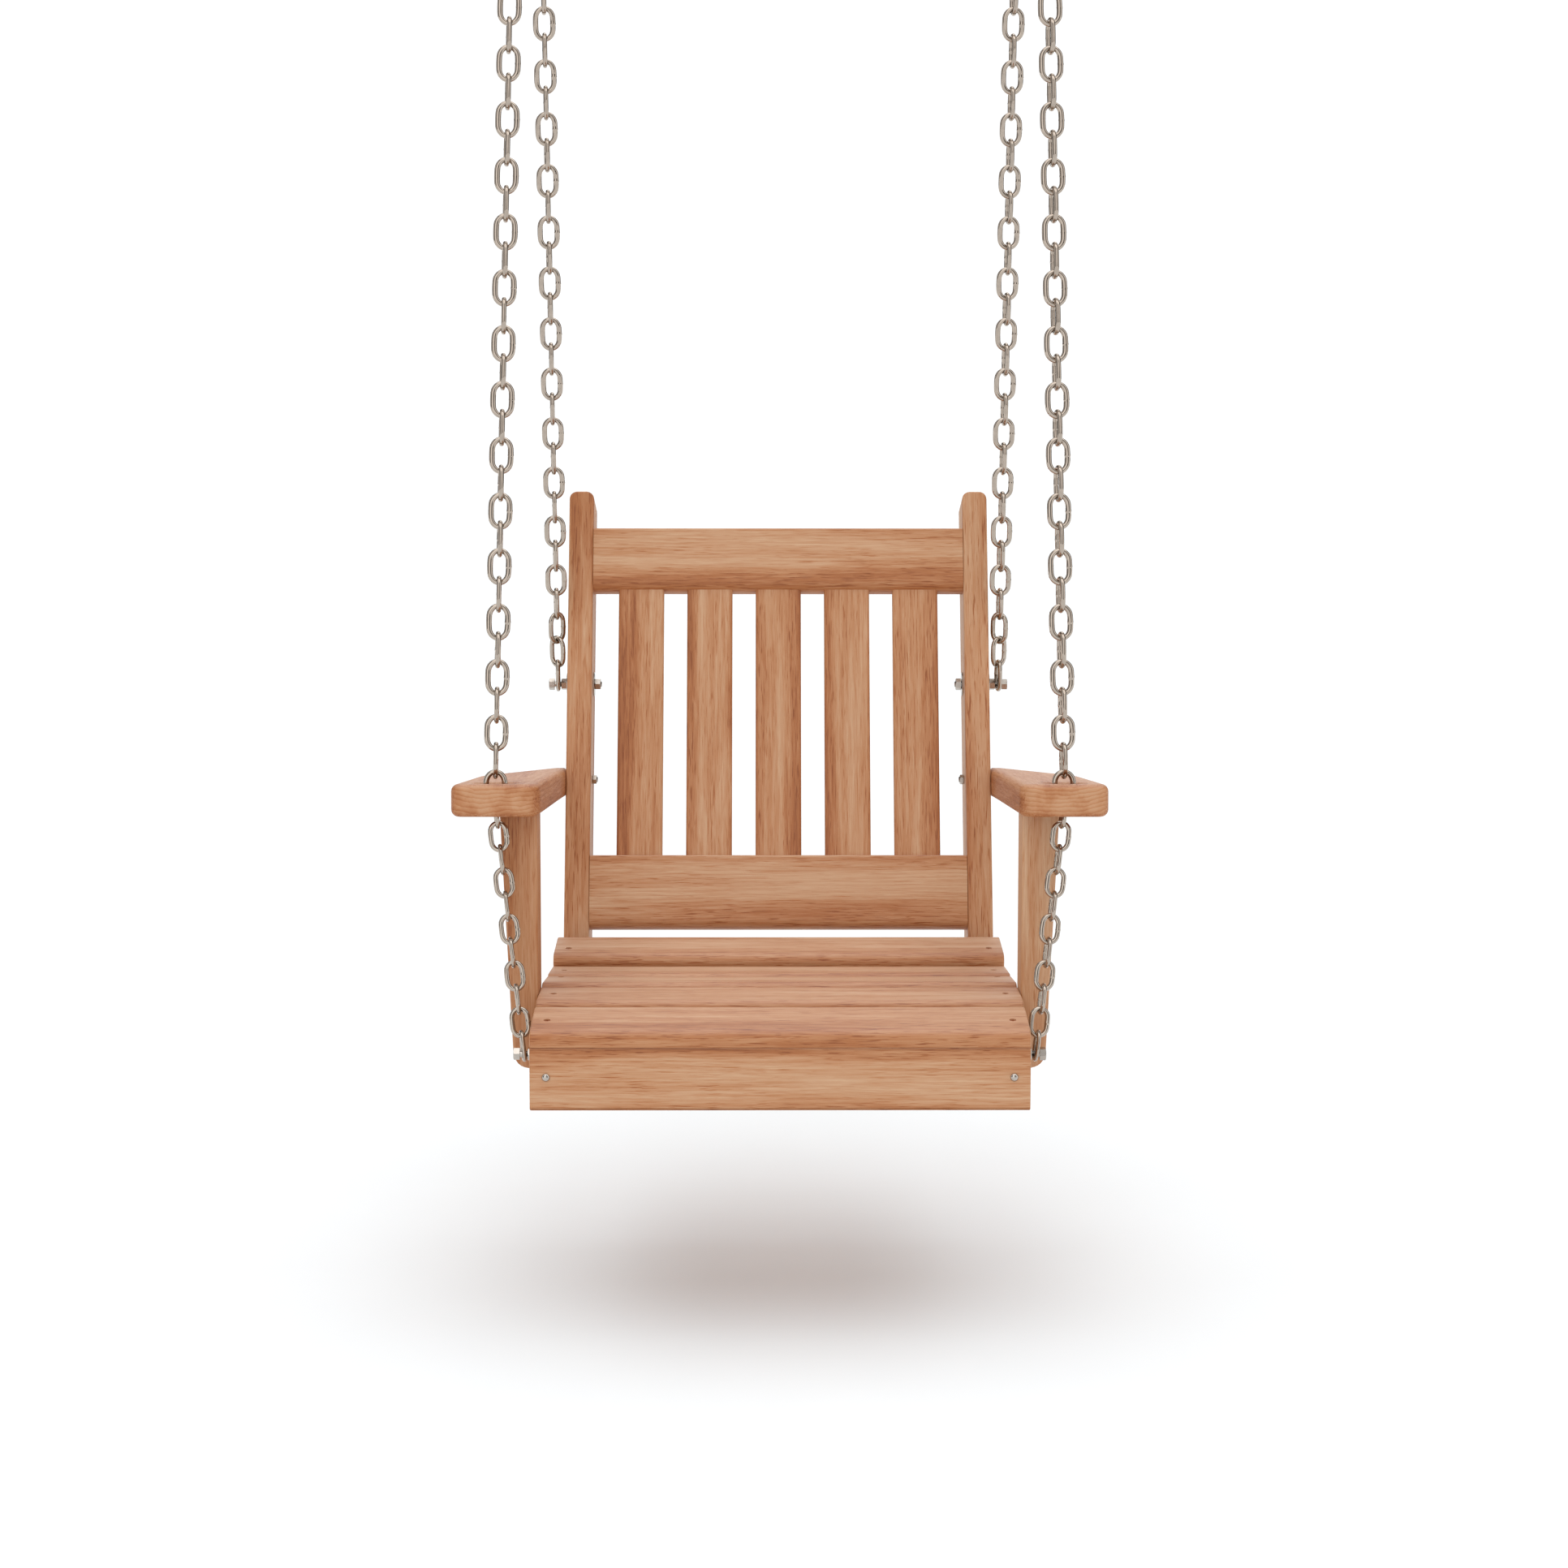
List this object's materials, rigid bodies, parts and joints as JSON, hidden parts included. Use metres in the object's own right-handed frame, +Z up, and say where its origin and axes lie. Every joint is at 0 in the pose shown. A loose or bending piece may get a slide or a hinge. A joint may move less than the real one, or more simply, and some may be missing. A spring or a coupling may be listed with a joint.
{
  "type": "porch swing",
  "caption": "Single-seat wooden porch swing: slatted seat and leaning slatted back, flat arms with chains passing through their fronts, hung by steel chains.",
  "frame": {"origin": "in the ceiling plane, midway between the four hangers that carry the swing", "axes": "+Z up, +Y to the back of the chair, +X along the seat's width, so the left and right halves mirror in X"},
  "size_m": [0.814, 0.7813, 1.5691],
  "materials": {
    "cedar": "matte, oiled, with open grain",
    "steel": "bright zinc plated"
  },
  "bodies": {
    "ceiling_hangers": {"front_hanger_left": "steel", "front_hanger_right": "steel", "rear_hanger_left": "steel", "rear_hanger_right": "steel"},
    "front_chains": {"front_chain_left": "steel", "front_chain_right": "steel", "front_hook_left": "steel", "front_hook_right": "steel", "front_top_link_left": "steel", "front_top_link_right": "steel"},
    "seat": {"apron": "cedar", "apron_screw_left": "steel", "apron_screw_right": "steel", "arm_bolt_left": "steel", "arm_bolt_nut_left": "steel", "arm_bolt_nut_right": "steel", "arm_bolt_right": "steel", "arm_left": "cedar", "arm_leg_left": "cedar", "arm_leg_right": "cedar", "arm_right": "cedar", "back_bottom_rail": "cedar", "back_post_left": "cedar", "back_post_right": "cedar", "back_slat_1": "cedar", "back_slat_2": "cedar", "back_slat_3": "cedar", "back_slat_4": "cedar", "back_slat_5": "cedar", "back_top_rail": "cedar", "front_chain_bolt_left": "steel", "front_chain_bolt_right": "steel", "front_chain_jam_nut_left": "steel", "front_chain_jam_nut_right": "steel", "lower_chain_left": "steel", "lower_chain_right": "steel", "lower_end_link_left": "steel", "lower_end_link_right": "steel", "rear_chain_bolt_left": "steel", "rear_chain_bolt_right": "steel", "rear_chain_inner_nut_left": "steel", "rear_chain_inner_nut_right": "steel", "rear_chain_jam_nut_left": "steel", "rear_chain_jam_nut_right": "steel", "rear_stretcher": "cedar", "seat_side_rail_left": "cedar", "seat_side_rail_right": "cedar", "seat_slat_1": "cedar", "seat_slat_2": "cedar", "seat_slat_3": "cedar", "seat_slat_4": "cedar", "seat_slat_5": "cedar"},
    "rear_chains": {"rear_chain_left": "steel", "rear_chain_right": "steel", "rear_end_link_left": "steel", "rear_end_link_right": "steel", "rear_hook_left": "steel", "rear_hook_right": "steel", "rear_top_link_left": "steel", "rear_top_link_right": "steel"}
  },
  "joints": [
    {"name": "swing", "type": "hinge", "parent": "ceiling_hangers", "child": "front_chains", "pos_m": [0, -0.14153, -0.066], "axis": [1, 0, 0], "range_deg": [-15, 15]},
    {"name": "seat_level", "type": "hinge", "parent": "front_chains", "child": "seat", "pos_m": [0, -0.25407, -1.18406], "axis": [1, 0, 0], "range_deg": [-8.3, 8.3]},
    {"name": "rear_chain_turn", "type": "hinge", "parent": "seat", "child": "rear_chains", "pos_m": [0, 0.25981, -1.08669], "axis": [1, 0, 0], "range_deg": [-8.8, 8.8]}
  ],
  "couplings": [
    {"joint": "seat_level", "follows": "swing", "ratio": -0.54303},
    {"joint": "rear_chain_turn", "follows": "swing", "ratio": 0.57691}
  ]
}
